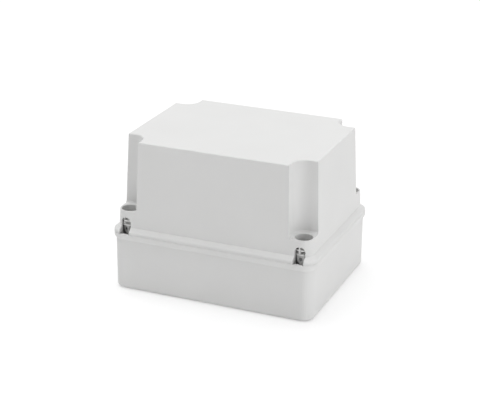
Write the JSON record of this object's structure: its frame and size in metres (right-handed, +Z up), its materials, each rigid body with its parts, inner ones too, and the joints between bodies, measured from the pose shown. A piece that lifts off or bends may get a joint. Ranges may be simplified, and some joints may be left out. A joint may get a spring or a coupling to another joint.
{
  "type": "hinged electrical enclosure",
  "caption": "Rectangular light grey plastic wall box with a deep lid, hinged and closed by captive corner screws that double as knuckle hinges.",
  "frame": {"origin": "middle of the underside, on the surface the box stands on", "axes": "+X along the long side, +Z up from base to lid, front at -Y, hinge side at +Y"},
  "size_m": [0.1992, 0.1546, 0.1442],
  "materials": {
    "shell": "fine satin, light grey",
    "gasket": "soft, dark",
    "screw": "satin, mid grey",
    "pin": "plain steel"
  },
  "bodies": {
    "base": {"base_shell": "shell"},
    "hinge_studs": {"screw_stud_rl": "screw", "screw_stud_rr": "screw", "knuckle_pin_rl": "pin", "knuckle_pin_rr": "pin"},
    "lid": {"lid_shell": "shell", "rim_gasket": "gasket", "screw_head_rl": "screw", "screw_head_rr": "screw"},
    "front_screw_left": {"screw_head_fl": "screw", "screw_stud_fl": "screw", "knuckle_pin_fl": "pin"},
    "front_screw_right": {"screw_head_fr": "screw", "screw_stud_fr": "screw", "knuckle_pin_fr": "pin"}
  },
  "joints": [
    {"name": "lid_lift", "type": "slide", "parent": "base", "child": "hinge_studs", "axis": [0, 0, 1], "range_m": [0, 0.0224]},
    {"name": "lid_hinge", "type": "hinge", "parent": "hinge_studs", "child": "lid", "pos_m": [0, 0.0627, 0.057], "axis": [-1, 0, 0], "range_deg": [0, 90]},
    {"name": "screw_left_turn", "type": "hinge", "parent": "lid", "child": "front_screw_left", "pos_m": [-0.085, -0.0627, 0.065], "axis": [0, 0, 1], "range_deg": [0, 360]},
    {"name": "screw_right_turn", "type": "hinge", "parent": "lid", "child": "front_screw_right", "pos_m": [0.085, -0.0627, 0.065], "axis": [0, 0, 1], "range_deg": [0, 360]}
  ],
  "couplings": [
    {"joint": "lid_lift", "follows": "lid_hinge", "m_per_rad": 0.0142}
  ]
}
